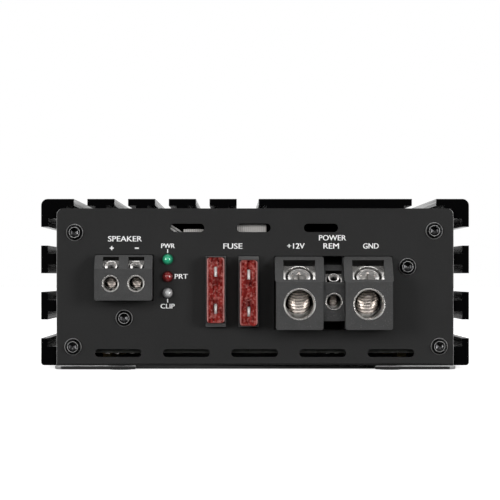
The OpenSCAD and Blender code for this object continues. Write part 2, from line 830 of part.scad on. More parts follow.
// Stamped element: two blades joined by a thin bowed link
module fuse_element(x, fuse_z) {
    color([0.85, 0.85, 0.82])
    along_x(x - blade_t / 2, x + blade_t / 2) {
        for (side = [-1, 1]) {
            z = fuse_z + side * blade_dz;
            polygon([[fuse_face + 0.75, z - blade_w / 2], [fuse_face + 0.75, z + blade_w / 2],
                     [blade_end - 1, z + blade_w / 2], [blade_end, z + blade_w / 2 - 1],
                     [blade_end, z - blade_w / 2 + 1], [blade_end - 1, z - blade_w / 2]]);
        }
        inner = blade_dz - blade_w / 2;
        link_y0 = fuse_face + 4;
        link_y1 = link_y0 + 1.2;
        polygon(concat([[link_y0, fuse_z - inner - 0.2]],
                       [for (p = arc(0, 0, inner, -90, 90, 8)) [link_y0 + 0.7 * p[0], fuse_z + p[1]]],
                       [[link_y0, fuse_z + inner + 0.2], [link_y1, fuse_z + inner + 0.2]],
                       [for (p = arc(0, 0, inner, 90, -90, 8)) [link_y1 + 0.7 * p[0], fuse_z + p[1]]],
                       [[link_y1, fuse_z - inner - 0.2]]));
    }
}

module left_fuse_holder() {
    fuse_holder(left_fuse_x, left_fuse_z);
}

module right_fuse_holder() {
    fuse_holder(right_fuse_x, right_fuse_z);
}

module fuse_contacts() {
    fuse_clips(left_fuse_x, left_fuse_z);
    fuse_clips(right_fuse_x, right_fuse_z);
}

module left_fuse_body() {
    fuse_body(left_fuse_x, left_fuse_z);
}

module right_fuse_body() {
    fuse_body(right_fuse_x, right_fuse_z);
}

module left_fuse_element() {
    fuse_element(left_fuse_x, left_fuse_z);
}

module right_fuse_element() {
    fuse_element(right_fuse_x, right_fuse_z);
}

// ---------- lamps ----------

module lamp(z) {
    tip = front_y - 1.7;
    translate([lamp_x, tip + lamp_r, z]) sphere(r = lamp_r);
    rod_y(lamp_x, z, tip + lamp_r, front_y + 3.4, lamp_r);
    rod_y(lamp_x, z, front_y + 2.4, front_y + 3.4, lamp_r + 0.4);
    for (side = [-1, 1]) rod_y(lamp_x + side * 0.6, z, front_y + 3.3, lamp_board_y, 0.25, $fn = 16);
}

module power_lamp() {
    color([0.2, 0.75, 0.45]) lamp(lamp_zs[0]);
}

module protect_lamp() {
    color([0.6, 0.15, 0.15]) lamp(lamp_zs[1]);
}

module clip_lamp() {
    color([0.8, 0.8, 0.8]) lamp(lamp_zs[2]);
}

module lamp_board() {
    color([0.1, 0.3, 0.15])
    along_y(lamp_board_y, lamp_board_y + 1.6) {
        polygon([[-29.2, board_top], [-16.2, board_top], [-16.2, lamp_plug_top - 0.4],
                 [-21, lamp_plug_top - 0.4], [-21, 38.5], [-29.2, 38.5]]);
    }
}

// Small plug that stands against the front of the lamp board
module lamp_plug() {
    color([0.85, 0.8, 0.7])
    difference() {
        block([lamp_plug_x0, -83.8, 36.6], [-15.2, lamp_board_y, lamp_plug_top]);
        for (i = [0:2]) {
            x = -20.1 + 1.5 * i;
            block([x, -83.2, lamp_plug_top - 0.8], [x + 1, -81.6, lamp_plug_top + 1]);
        }
    }
}

// Lamp leads: from the lamp plug, up over the speaker terminals, to the control board
module lamp_leads() {
    color([0.75, 0.75, 0.72])
    for (i = [0:2]) {
        bend = [-25.2, -81.7, 42.5 - 0.95 * i];
        thin_lead([lamp_plug_x0 - 0.31, -81.7, lamp_plug_top - 1.1 - 0.95 * i], bend);
        thin_lead(bend, [-44.2, -50 + 2.2 * i, 38.28]);
    }
}

module thin_lead(from, to) {
    hull() {
        translate(from) sphere(r = 0.3, $fn = 12);
        translate(to) sphere(r = 0.3, $fn = 12);
    }
}

module sense_plug() {
    color([0.85, 0.8, 0.7])
    difference() {
        block([-5.3, -84.2, 34.45], [3.3, -78.6, 42.5]);
        for (i = [0:3]) {
            block([-4.7 + 1.8 * i, -83.2, 41.3], [-3.5 + 1.8 * i, -79.6, 43]);
        }
    }
}

module sense_leads() {
    color([0.6, 0.25, 0.15])
    for (i = [0:3]) {
        x = -4.1 + 1.8 * i;
        lead(x, [-78.6, 39], [-66.5, 39], 0.45);
        translate([x, -66.5, 39]) sphere(r = 0.45, $fn = 24);
        lead(x, [-66.5, 39], [-66.5, board_top + 0.02], 0.45);
    }
}

// ---------- boards and power parts ----------

module main_board() {
    color([0.08, 0.3, 0.14])
    difference() {
        block([-board_half, -83.8, board_z], [board_half, 83.8, board_top]);
        for (side = [-1, 1]) {
            for (i = [-1:1]) {
                translate([side * spacer_x, i * spacer_y, 0]) cylinder(h = 10, r = 1.25, $fn = 24);
            }
        }
        for (x = [positive_x, ground_x]) {
            solder_tails(x, power_clamp_w, power_back, 0, 10, tail_gap);
        }
        solder_tails(remote_x, remote_clamp_w, remote_back, 0, 10, tail_gap);
        for (side = [-1, 1]) {
            x = speaker_x + side * speaker_pitch / 2;
            solder_tails(x, speaker_clamp_w, speaker_back, 0, 10, tail_gap);
        }
    }
}

module control_board() {
    color([0.08, 0.3, 0.14]) block([-45, -52, board_top], [-43.4, -8, 38]);
}

transformer_at = [20, -28];
transformer_r = 17;
inductor_at = [-20, -32];
inductor_r = 12;
ring_gap = 1.2;

// Ring core of rectangular section lying flat
module ring_core(at, outer, inner, z0, h) {
    translate([at[0], at[1], z0]) difference() {
        cylinder(h = h, r = outer);
        translate([0, 0, -1]) cylinder(h = h + 2, r = inner);
    }
}

// Winding wrapped right round a ring core, as one closed shell
module ring_winding(at, outer, inner, z0, h) {
    translate([at[0], at[1], z0]) rotate_extrude() difference() {
        translate([inner - ring_gap, -ring_gap]) square([outer - inner + 2 * ring_gap, h + 2 * ring_gap]);
        translate([inner, 0]) square([outer - inner, h]);
    }
}

module transformer_core() {
    color([0.25, 0.3, 0.28]) ring_core(transformer_at, transformer_r, 8.5, board_top + ring_gap, 14);
}

module transformer_winding() {
    color([0.7, 0.42, 0.2]) ring_winding(transformer_at, transformer_r, 8.5, board_top + ring_gap, 14);
}

module inductor_core() {
    color([0.75, 0.7, 0.3]) ring_core(inductor_at, inductor_r, 6, board_top + ring_gap, 10);
}

module inductor_winding() {
    color([0.7, 0.42, 0.2]) ring_winding(inductor_at, inductor_r, 6, board_top + ring_gap, 10);
}

module supply_capacitors() {
    color([0.12, 0.12, 0.2])
    for (i = [0:3]) {
        translate([-27 + 18 * i, 12, board_top]) {
            cylinder(h = 26, r = 8);
            translate([0, 0, 25.9]) cylinder(h = 0.6, r = 7);
        }
    }
}

bar_z = side_fin_z0 + side_pitch;
bar_screw_ys = [-30, 0, 30];
bar_screw_bite = 3.6;
transistor_ys = [-45, -15, 15, 45];
pad_t = 0.3;
package_t = 4.5;
cover_screw_x = 56.8;
cover_screw_ys = [-75, 0, 75];

// Power transistors stand against the side walls, their legs bent in to the board
module power_transistors() {
    tab_x = wall_in - pad_t;
    color([0.1, 0.1, 0.1])
    for (side = [-1, 1]) {
        for (y = transistor_ys) mirror([side < 0 ? 1 : 0, 0, 0]) {
            block([tab_x - package_t, y - 5, 13.4], [tab_x, y + 5, 22.6]);
            block([tab_x - 1.3, y - 5, 22.5], [tab_x, y + 5, 29]);
            for (leg = [-1:1]) {
                block([tab_x - 2.8, y + 2.54 * leg - 0.4, 10.6], [tab_x - 2.2, y + 2.54 * leg + 0.4, 13.5]);
                block([47.6, y + 2.54 * leg - 0.4, 10.6], [tab_x - 2.2, y + 2.54 * leg + 0.4, 11.2]);
                block([47.6, y + 2.54 * leg - 0.4, board_top], [48.2, y + 2.54 * leg + 0.4, 11]);
            }
        }
    }
}

module insulating_pads() {
    color([0.6, 0.65, 0.7])
    for (side = [-1, 1]) mirror([side < 0 ? 1 : 0, 0, 0]) difference() {
        block([wall_in - pad_t, -52, 12], [wall_in, 52, 31]);
        for (y = bar_screw_ys) {
            translate([wall_in - 1, y, bar_z]) rotate([0, 90, 0]) cylinder(h = 2, r = 1.4, $fn = 24);
        }
    }
}

module clamp_bars() {
    bar_x = wall_in - pad_t - package_t;
    color([0.75, 0.76, 0.78])
    for (side = [-1, 1]) mirror([side < 0 ? 1 : 0, 0, 0]) difference() {
        block([bar_x - 3, -52, 15], [bar_x, 52, 22]);
        for (y = bar_screw_ys) {
            translate([bar_x - 4, y, bar_z]) rotate([0, 90, 0]) cylinder(h = 5, r = 1.4, $fn = 24);
        }
    }
}

module clamp_bar_screws() {
    bar_x = wall_in - pad_t - package_t - 3;
    color([0.75, 0.76, 0.78])
    for (side = [-1, 1]) mirror([side < 0 ? 1 : 0, 0, 0]) {
        for (y = bar_screw_ys) {
            translate([bar_x, y, bar_z]) rotate([0, 90, 0]) {
                cylinder(h = wall_in - bar_x + bar_screw_bite - 0.2, r = 1.2, $fn = 24);
                translate([0, 0, -1.8]) cylinder(h = 1.8, r = 2.4);
            }
        }
    }
}

module signal_chips() {
    color([0.1, 0.1, 0.1])
    for (i = [0:4]) {
        block([-34 + 14 * i, 44, board_top], [-27 + 14 * i, 54, board_top + 3.2]);
    }
}

// ---------- input end ----------

module input_jack_body() {
    color([0.12, 0.12, 0.12])
    difference() {
        union() {
            block([17.5, 74, board_top], [47.5, half_len - 0.05, 31]);
            for (x = jack_xs) rod_y(x, jack_z, 80, rear_y + 8.4, jack_inner_r);
            for (x = jack_xs) rod_y(x, jack_z, half_len - 0.1, rear_y, jack_r + 0.7);
        }
        for (x = jack_xs) {
            rod_y(x, jack_z, 78, rear_y + 12, 1.85);
            difference() {
                rod_y(x, jack_z, 79, rear_y + 12, jack_neck_r);
                rod_y(x, jack_z, 78, rear_y + 12, jack_inner_r);
            }
        }
    }
}

// Coloured rings that tell the two channels apart
module input_jack_rings() {
    color([0.7, 0.1, 0.1])
    for (x = jack_xs) difference() {
        rod_y(x, jack_z, rear_y, rear_y + 1.2, jack_r + 1.1);
        rod_y(x, jack_z, rear_y - 1, rear_y + 2, jack_neck_r);
    }
}

module input_jack_shells() {
    color([0.8, 0.8, 0.8])
    for (x = jack_xs) difference() {
        union() {
            rod_y(x, jack_z, rear_y + 1.3, jack_end_y, jack_r);
            rod_y(x, jack_z, 79, rear_y + 1.4, jack_neck_r - 0.05);
        }
        rod_y(x, jack_z, 78, rear_y + 12, jack_inner_r);
    }
}

module input_jack_contacts() {
    color([0.85, 0.8, 0.6])
    for (x = jack_xs) difference() {
        rod_y(x, jack_z, 78, rear_y + 7.6, 1.85);
        rod_y(x, jack_z, 80, rear_y + 12, 1.6);
    }
}

function knob_x(i) = knob_x0 - i * knob_pitch;

module control_pots() {
    color([0.2, 0.35, 0.3])
    for (i = [0:2]) difference() {
        union() {
            block([knob_x(i) - 5.5, 73.5, board_top], [knob_x(i) + 5.5, half_len - 0.05, 28]);
            rod_y(knob_x(i), knob_z, half_len - 1, rear_y + 0.8, 2.5);
        }
        rod_y(knob_x(i), knob_z, 76, rear_y + 2, pot_bore);
    }
}

// Fluted knob with a shaft moulded on and a pointer groove
module knob(i) {
    x = knob_x(i);
    flutes = 18;
    color([0.08, 0.08, 0.08]) {
        rod_y(x, knob_z, 76.5, rear_y + 1.5, shaft_r);
        difference() {
            along_y(rear_y + 1.2, knob_front) {
                translate([x, knob_z]) {
                    polygon([for (k = [0:flutes * 6 - 1])
                             let (a = 360 * k / (flutes * 6), r = knob_r - 0.2 + 0.2 * cos(a * flutes))
                             [r * cos(a), r * sin(a)]]);
                }
            }
            block([x - 0.35, knob_front - 0.5, knob_z + 0.8],
                  [x + 0.35, knob_front + 1, knob_z + knob_r + 1]);
        }
    }
}

module gain_knob() {
    knob(0);
}

module crossover_knob() {
    knob(1);
}

module bass_knob() {
    knob(2);
}

module filter_switch_body() {
    color([0.7, 0.7, 0.72])
    difference() {
        block([switch_x - 4.6, 77, board_top], [switch_x + 4.6, half_len - 0.05, 26]);
        block([switch_x - 3.8, 79, switch_z - 2.2], [switch_x + 3.8, half_len - 1, switch_z + 2.2]);
        block([switch_x - 3.6, 83, switch_z - 1.6], [switch_x + 3.6, half_len + 1, switch_z + 1.6]);
    }
}

module filter_switch_slider() {
    x = switch_x - switch_travel / 2;
    color([0.1, 0.1, 0.1]) {
        block([x - 1.9, 79.2, switch_z - 2], [x + 1.9, half_len - 1.2, switch_z + 2]);
        block([x - 1.5, 83, switch_z - 1.4], [x + 1.5, rear_y + 2.6, switch_z + 1.4]);
    }
}

// Socket for a wired level control, with contact grooves in its floor
module remote_level_socket() {
    wall = 1.1;
    color([0.12, 0.12, 0.12])
    difference() {
        block([port_x - port_w / 2 - wall, 73.5, board_top],
              [port_x + port_w / 2 + wall, half_len - 0.05, port_z + port_h / 2 + wall]);
        block([port_x - port_w / 2, 76, port_z - port_h / 2],
              [port_x + port_w / 2, rear_y, port_z + port_h / 2]);
        for (i = [-1.5:1.5]) {
            block([port_x + 1.3 * i - 0.3, 76, port_z + port_h / 2 - 0.1],
                  [port_x + 1.3 * i + 0.3, half_len - 1, port_z + port_h / 2 + 0.4]);
        }
    }
}

heatsink();
front_panel();
rear_panel();
bottom_cover();
front_panel_screws();
rear_panel_screws();
terminal_fixing_screws();
bottom_cover_screws();
main_board();
board_spacers();
board_screws();
supply_terminal_housing();
positive_clamp();
ground_clamp();
remote_clamp();
positive_set_screw();
ground_set_screw();
remote_set_screw();
speaker_terminal_housing();
speaker_positive_clamp();
speaker_negative_clamp();
speaker_positive_screw();
speaker_negative_screw();
left_fuse_holder();
right_fuse_holder();
fuse_contacts();
left_fuse_body();
left_fuse_element();
right_fuse_body();
right_fuse_element();
power_lamp();
protect_lamp();
clip_lamp();
lamp_board();
lamp_plug();
lamp_leads();
sense_plug();
sense_leads();
control_board();
transformer_core();
transformer_winding();
inductor_core();
inductor_winding();
supply_capacitors();
power_transistors();
insulating_pads();
clamp_bars();
clamp_bar_screws();
signal_chips();
input_jack_body();
input_jack_rings();
input_jack_shells();
input_jack_contacts();
control_pots();
gain_knob();
crossover_knob();
bass_knob();
filter_switch_body();
filter_switch_slider();
remote_level_socket();
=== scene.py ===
"""Looks of the car amplifier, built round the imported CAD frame. Lengths are in metres."""

import json
import math

import bmesh
import bpy
from mathutils import Matrix, Vector


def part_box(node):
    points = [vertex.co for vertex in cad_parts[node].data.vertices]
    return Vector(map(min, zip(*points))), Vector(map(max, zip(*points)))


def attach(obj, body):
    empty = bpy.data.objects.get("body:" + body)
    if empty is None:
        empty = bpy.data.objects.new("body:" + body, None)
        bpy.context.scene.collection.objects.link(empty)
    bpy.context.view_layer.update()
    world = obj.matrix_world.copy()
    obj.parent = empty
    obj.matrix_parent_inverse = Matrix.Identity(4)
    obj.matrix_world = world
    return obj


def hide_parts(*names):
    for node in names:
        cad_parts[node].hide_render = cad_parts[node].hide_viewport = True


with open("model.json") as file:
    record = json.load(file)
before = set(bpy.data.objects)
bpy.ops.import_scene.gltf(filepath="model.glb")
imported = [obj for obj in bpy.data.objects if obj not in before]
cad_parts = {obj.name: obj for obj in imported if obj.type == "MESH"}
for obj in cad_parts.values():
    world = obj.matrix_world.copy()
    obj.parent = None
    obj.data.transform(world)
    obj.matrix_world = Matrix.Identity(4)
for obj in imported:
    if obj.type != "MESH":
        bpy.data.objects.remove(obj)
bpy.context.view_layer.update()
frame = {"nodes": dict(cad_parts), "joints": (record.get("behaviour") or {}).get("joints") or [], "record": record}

MM = 0.001
ACROSS = Vector((1, 0, 0))
CHASSIS = "chassis"
BUTTON_HEAD = 1.5 * MM  # how far the panel screws' heads stand out of the panels


# ---------------------------------------------------------------- camera, light and floor

VIEW_POINT = Vector((-5.9, -686, 27.3)) * MM
LENS_MM = 146.9
SENSOR_MM = 36
SHIFT = (0.03, 0.052)
PANEL_MIDDLE = Vector((0, -90, 25)) * MM

# Name, place from the panel's middle, width and height in metres, watts
SOFTBOXES = (
    ("softbox_left", (-0.62, -0.6, 0.06), 0.3, 0.45, 5.7),
    ("softbox_right", (0.62, -0.6, 0.06), 0.3, 0.45, 5.7),
    ("softbox_front", (0, -0.9, 0.38), 0.8, 0.4, 2.3),
    ("softbox_top", (0, 0.1, 0.75), 0.7, 0.2, 1.0),
)

# The room's brightness, from its front side to its back, and the share of it that lights matt surfaces
ROOM_FADE = (-0.5, 0.6)
ROOM_STRENGTH = (0.01, 1.15)
ROOM_DIFFUSE = 0.45

FLOOR_RADIUS = 4
FLOOR_GLOW = 0.8


def add_camera():
    data = bpy.data.cameras.new("camera")
    data.lens = LENS_MM
    data.sensor_width = SENSOR_MM
    data.shift_x, data.shift_y = SHIFT
    data.clip_start = 0.01
    data.clip_end = 50
    camera = bpy.data.objects.new("camera", data)
    bpy.context.scene.collection.objects.link(camera)
    camera.location = VIEW_POINT
    camera.rotation_euler = (math.radians(90), 0, 0)
    bpy.context.scene.camera = camera


def add_lights():
    """Two low softboxes, one above the camera, and a strip overhead, a little behind the panel."""
    for name, offset, width, height, watts in SOFTBOXES:
        data = bpy.data.lights.new(name, "AREA")
        data.shape = "RECTANGLE"
        data.size = width
        data.size_y = height
        data.energy = watts
        light = bpy.data.objects.new(name, data)
        bpy.context.scene.collection.objects.link(light)
        light.location = PANEL_MIDDLE + Vector(offset)
        light.rotation_euler = (-Vector(offset)).to_track_quat("-Z", "Y").to_euler()


def add_world():
    """White where the camera looks; as light and in reflections, dark in front and bright behind."""
    world = bpy.data.worlds.new("studio")
    bpy.context.scene.world = world
    world.use_nodes = True
    nodes, links = world.node_tree.nodes, world.node_tree.links
    nodes.clear()
    coordinates = nodes.new("ShaderNodeTexCoord")
    split = nodes.new("ShaderNodeSeparateXYZ")
    fade = nodes.new("ShaderNodeMapRange")
    fade.interpolation_type = "SMOOTHSTEP"
    fade.inputs["From Min"].default_value, fade.inputs["From Max"].default_value = ROOM_FADE
    fade.inputs["To Min"].default_value, fade.inputs["To Max"].default_value = ROOM_STRENGTH
    dim = nodes.new("ShaderNodeMath")
    dim.operation = "MULTIPLY_ADD"
    dim.inputs[1].default_value = ROOM_DIFFUSE - 1
    dim.inputs[2].default_value = 1.0
    strength = nodes.new("ShaderNodeMath")
    strength.operation = "MULTIPLY"
    seen = nodes.new("ShaderNodeBackground")
    unseen = nodes.new("ShaderNodeBackground")
    path = nodes.new("ShaderNodeLightPath")
    mix = nodes.new("ShaderNodeMixShader")
    output = nodes.new("ShaderNodeOutputWorld")
    seen.inputs["Color"].default_value = (1, 1, 1, 1)
    unseen.inputs["Color"].default_value = (1, 1, 1, 1)
    links.new(coordinates.outputs["Generated"], split.inputs[0])
    links.new(split.outputs["Y"], fade.inputs["Value"])
    links.new(path.outputs["Is Diffuse Ray"], dim.inputs[0])
    links.new(fade.outputs[0], strength.inputs[0])
    links.new(dim.outputs[0], strength.inputs[1])
    links.new(strength.outputs[0], unseen.inputs["Strength"])
    links.new(path.outputs["Is Camera Ray"], mix.inputs[0])
    links.new(unseen.outputs[0], mix.inputs[1])
    links.new(seen.outputs[0], mix.inputs[2])
    links.new(mix.outputs[0], output.inputs["Surface"])


def add_floor():
    mesh = bpy.data.meshes.new("floor")
    shape = bmesh.new()
    bmesh.ops.create_circle(shape, cap_ends=True, segments=96, radius=FLOOR_RADIUS)
    shape.to_mesh(mesh)
    shape.free()
    floor = bpy.data.objects.new("floor", mesh)
    bpy.context.scene.collection.objects.link(floor)
    look = Look("floor", (0.86, 0.86, 0.86), 0.7)
    look.tint((0.86, 0.86, 0.86), (0.9, 0.9, 0.9), look.noise(6))
    look.set("Emission Color", (1, 1, 1, 1))
    look.set("Emission Strength", FLOOR_GLOW)
    floor.data.materials.append(look.material)
    floor.visible_glossy = False
    floor.visible_diffuse = False


# ---------------------------------------------------------------- material building

class Look:
    """One material: its Principled shader, and short calls that put textures in front of it."""

    def __init__(self, name, color, roughness, metallic=0.0):
        self.material = bpy.data.materials.new(name)
        self.material.use_nodes = True
        self.tree = self.material.node_tree
        self.shader = self.tree.nodes["Principled BSDF"]
        self.set("Base Color", (*color, 1))
        self.set("Roughness", roughness)
        self.set("Metallic", metallic)
        self.place = self.tree.nodes.new("ShaderNodeTexCoord").outputs["Object"]
        self.height = None

    def set(self, name, value):
        self.shader.inputs[name].default_value = value

    def link(self, source, target):
        self.tree.links.new(source, target)

    def stretched(self, x=1.0, y=1.0, z=1.0):
        mapping = self.tree.nodes.new("ShaderNodeMapping")
        mapping.inputs["Scale"].default_value = (x, y, z)
        self.link(self.place, mapping.inputs["Vector"])
        return mapping.outputs["Vector"]

    def noise(self, scale, detail=2.0, place=None):
        node = self.tree.nodes.new("ShaderNodeTexNoise")
        node.inputs["Scale"].default_value = scale
        node.inputs["Detail"].default_value = detail
        self.link(place or self.place, node.inputs["Vector"])
        return node.outputs["Fac"]

    def cells(self, scale):
        node = self.tree.nodes.new("ShaderNodeTexVoronoi")
        node.inputs["Scale"].default_value = scale
        self.link(self.place, node.inputs["Vector"])
        return node.outputs["Distance"]

    def waves(self, scale, distortion, axis, place=None):
        node = self.tree.nodes.new("ShaderNodeTexWave")
        node.bands_direction = axis
        node.inputs["Scale"].default_value = scale
        node.inputs["Distortion"].default_value = distortion
        self.link(place or self.place, node.inputs["Vector"])
        return node.outputs["Fac"]

    def squeeze(self, value, low, high, to_low=0.0, to_high=1.0):
        """Maps the range low..high of a texture to to_low..to_high, and clamps it there."""
        node = self.tree.nodes.new("ShaderNodeMapRange")
        node.inputs["From Min"].default_value = low
        node.inputs["From Max"].default_value = high
        node.inputs["To Min"].default_value = to_low
        node.inputs["To Max"].default_value = to_high
        self.link(value, node.inputs["Value"])
        return node.outputs["Result"]

    def blend(self, factor, dark, light):
        """A colour between two; either may be a plain colour or another node's output."""
        node = self.tree.nodes.new("ShaderNodeMix")
        node.data_type = "RGBA"
        self.link(factor, node.inputs["Factor"])
        for value, socket in ((dark, node.inputs["A"]), (light, node.inputs["B"])):
            if isinstance(value, tuple):
                socket.default_value = (*value, 1)
            else:
                self.link(value, socket)
        return node.outputs["Result"]

    def tint(self, dark, light, factor):
        color = self.blend(factor, dark, light)
        self.link(color, self.shader.inputs["Base Color"])
        return color

    def rough(self, value, low, high):
        self.link(self.squeeze(value, 0.3, 0.7, low, high), self.shader.inputs["Roughness"])

    def openness(self, reach, closed, open_):
        """1 where a surface stands free, 0 where other surfaces close it in within reach."""
        node = self.tree.nodes.new("ShaderNodeAmbientOcclusion")
        node.samples = 8
        node.inputs["Distance"].default_value = reach
        return self.squeeze(node.outputs["AO"], closed, open_)

    def part_of(self, vector, axis):
        split = self.tree.nodes.new("ShaderNodeSeparateXYZ")
        self.link(vector, split.inputs[0])
        return split.outputs[axis]

    def normal_along(self, axis):
        return self.part_of(self.tree.nodes.new("ShaderNodeNewGeometry").outputs["Normal"], axis)

    def place_along(self, axis):
        return self.part_of(self.place, axis)

    def side_edges(self):
        """1 on edges that are rounded between the front and a side, 0 elsewhere."""
        turn = self.size_of(self.normal_along("X"))
        return self.times(self.squeeze(turn, 0.2, 0.4), self.squeeze(turn, 0.98, 0.92))

    def compute(self, operation, *values):
        node = self.tree.nodes.new("ShaderNodeMath")
        node.operation = operation
        for value, socket in zip(values, node.inputs):
            self.link(value, socket)
        return node.outputs[0]

    def size_of(self, value):
        return self.compute("ABSOLUTE", value)

    def either(self, first, second):
        return self.compute("MAXIMUM", first, second)

    def times(self, first, second):
        return self.compute("MULTIPLY", first, second)

    def bump(self, value, distance, strength=1.0):
        node = self.tree.nodes.new("ShaderNodeBump")
        node.inputs["Distance"].default_value = distance
        node.inputs["Strength"].default_value = strength
        self.link(value, node.inputs["Height"])
        if self.height:
            self.link(self.height, node.inputs["Normal"])
        self.height = node.outputs["Normal"]
        self.link(self.height, self.shader.inputs["Normal"])


# ---------------------------------------------------------------- materials

SHADOW = (0.002, 0.002, 0.002)
PANEL_RIM = 2 * MM  # the front panel's side edges carry a painted highlight this far in from its ends
TAB_TOP = 3.5 * MM  # the tops of its tabs carry a painted highlight this far back from its front
SIDE_FINS = 6.5 * MM  # depth of the fins on the heatsink's sides
TOP_FINS = 6 * MM  # depth of the fins on its top
SOFT = 0.5 * MM  # half the width of the change from fins to core
TOP_SHINE = 0.04  # share of their shine that upward faces keep
RECESS_REACH = 7 * MM  # walls this near close in the terminal blocks' recesses, which are painted with shade
METAL_GRAIN = 0.006 * MM


def powder_coat(name, shade, wear_and_highlight=None):
    """Matt black powder coat; on the given node, painted highlights light its rounded side edges and the tops of
    its tabs.
    """
    look = Look(name, (shade,) * 3, 0.56)
    cloud = look.noise(90, 3)
    coat = look.tint((shade * 0.9,) * 3, (shade * 1.1,) * 3, cloud)
    if wear_and_highlight:
        low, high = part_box(wear_and_highlight)
        border = look.squeeze(look.size_of(look.place_along("X")),
                              high.x - PANEL_RIM, high.x - PANEL_RIM + 0.1 * MM)
        edges = look.times(look.side_edges(), border)
        tab_end = low.y + TAB_TOP
        tab_top_highlight = look.times(look.squeeze(look.normal_along("Z"), 0.45, 0.6),
                             look.squeeze(look.place_along("Y"), tab_end + 0.1 * MM, tab_end - 0.1 * MM))
        # Painted highlights: light rounded side edges and light tab tops
        coat = look.blend(edges, coat, (0.3, 0.3, 0.3))
        coat = look.blend(tab_top_highlight, coat, (0.85, 0.85, 0.85))
        look.link(coat, look.shader.inputs["Base Color"])
    look.rough(look.noise(1500), 0.5, 0.64)
    look.bump(look.noise(2600, 3), 0.02 * MM, 0.55)
    look.bump(look.noise(400, 1), 0.03 * MM, 0.25)
    look.set("Specular IOR Level", 0.15)
    return look.material


def anodised(name):
    """Black anodised extrusion with fine die lines: glossy sides, duller top, dull inside and ends."""
    look = Look(name, (0.002, 0.002, 0.002), 0.24)
    lines = look.noise(1.0, 3, look.stretched(2600, 12, 2600))
    look.tint((0.0014, 0.0014, 0.0016), (0.003, 0.003, 0.0032), lines)
    look.rough(lines, 0.19, 0.3)
    look.bump(lines, 0.02 * MM, 0.4)
    look.bump(look.noise(1800, 2), 0.01 * MM, 0.3)
    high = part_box("heatsink")[1]
    beside = look.squeeze(look.size_of(look.place_along("X")),
                          high.x - SIDE_FINS - SOFT, high.x - SIDE_FINS + SOFT)
    above = look.squeeze(look.place_along("Z"), high.z - TOP_FINS - SOFT, high.z - TOP_FINS + SOFT)
    outside = look.either(beside, above)
    along = look.squeeze(look.size_of(look.normal_along("Y")), 0.9, 0.6)
    shine = look.squeeze(look.times(outside, along), 0, 1, 0.0, 0.28)
    shine = look.times(shine, look.squeeze(look.normal_along("Z"), 0.7, 0.9, 1.0, TOP_SHINE))
    look.link(shine, look.shader.inputs["Specular IOR Level"])
    return look.material


def moulded(name, shade, roughness, fleck=None, specular=0.3, shade_reach=None):
    """Moulded plastic with a fine grain, light flecks where it is filled, and painted shade in its recesses and on
    faces that look down.
    """
    look = Look(name, (shade,) * 3, roughness)
    cloud = look.blend(look.noise(300, 3), (0.86 * shade,) * 3, (1.12 * shade,) * 3)
    if fleck:
        flecks = look.squeeze(look.noise(3600, 1), 0.62, 0.8)
        cloud = look.blend(flecks, cloud, (fleck,) * 3)
    # Painted shade: closed-in places and downward faces turn dark
    if shade_reach:
        free = look.openness(shade_reach, 0.4, 0.62)
        cloud = look.blend(free, SHADOW, cloud)
        overhang = look.squeeze(look.normal_along("Z"), -0.45, -0.3)
        cloud = look.blend(overhang, SHADOW, cloud)
    look.link(cloud, look.shader.inputs["Base Color"])
    look.rough(look.noise(900), roughness - 0.06, roughness + 0.08)
    look.bump(look.noise(3200, 2), 0.012 * MM, 0.6)
    look.set("Specular IOR Level", specular)
    return look.material


def ribbed_nylon(name, node):
    """Cream nylon of a plug's body, with fine ribs down it, shaded near its top."""
    look = Look(name, (0.3, 0.3, 0.28), 0.5)
    ribs = look.waves(1.0, 0.3, "X", look.stretched(520, 1, 1))
    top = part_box(node)[1].z
    face = look.blend(look.squeeze(ribs, 0, 1), (0.25, 0.24, 0.23), (0.4, 0.385, 0.37))
    below_top = look.squeeze(look.place_along("Z"), top, top - 0.9 * MM)
    look.tint((0.05, 0.05, 0.048), face, below_top)
    look.rough(look.noise(900), 0.44, 0.58)
    look.bump(ribs, 0.03 * MM, 0.5)
    return look.material


def plated(name, color, roughness, lines=(700, 700, 700), metal=1.0, groove=None):
    """Plated or uncoated metal with faint machining marks and smears, and painted shade in grooves of a given
    width.
    """
    look = Look(name, color, roughness, metal)
    marks = look.noise(1.0, 3, look.stretched(*lines))
    smear = look.noise(160, 3)
    clean = look.tint(tuple(0.82 * c for c in color), color, smear)
    # Painted shade in the grooves, where nearby walls close them in
    if groove:
        look.tint(tuple(0.04 * c for c in color), clean, look.openness(groove, 0.5, 0.8))
    look.rough(smear, roughness * 0.75, roughness * 1.3)
    look.bump(marks, METAL_GRAIN, 0.5)
    return look.material


def black_steel(name):
    """Blackened steel, rubbed down to the metal in small spots."""
    look = Look(name, (0.03, 0.03, 0.03), 0.3, 1.0)
    wear_and_highlight = look.squeeze(look.noise(1700, 3), 0.58, 0.74)
    look.tint((0.03, 0.03, 0.031), (0.22, 0.22, 0.22), wear_and_highlight)
    look.rough(look.noise(800), 0.24, 0.38)
    look.bump(look.noise(2600, 2), 0.008 * MM, 0.5)
    return look.material


def circuit_board(name):
    """Green solder mask over tracks, with small tinned pads on its faces, and painted shade on every face that
    looks to the front.
    """
    look = Look(name, (0.01, 0.1, 0.03), 0.32)
    tracks = look.squeeze(look.waves(260, 9, "DIAGONAL"), 0.42, 0.58)
    mask = look.blend(tracks, (0.006, 0.06, 0.018), (0.012, 0.12, 0.036))
    pads = look.squeeze(look.cells(420), 0.16, 0.12)
    face = look.blend(pads, mask, (0.6, 0.6, 0.56))
    # Painted shade: faces that look to the front turn near black
    front_facing_shade = look.squeeze(look.normal_along("Y"), -0.5, -0.7)
    look.tint(face, (0.008, 0.009, 0.007), front_facing_shade)
    look.rough(look.noise(500), 0.26, 0.4)
    look.bump(tracks, 0.03 * MM, 0.4)
    return look.material


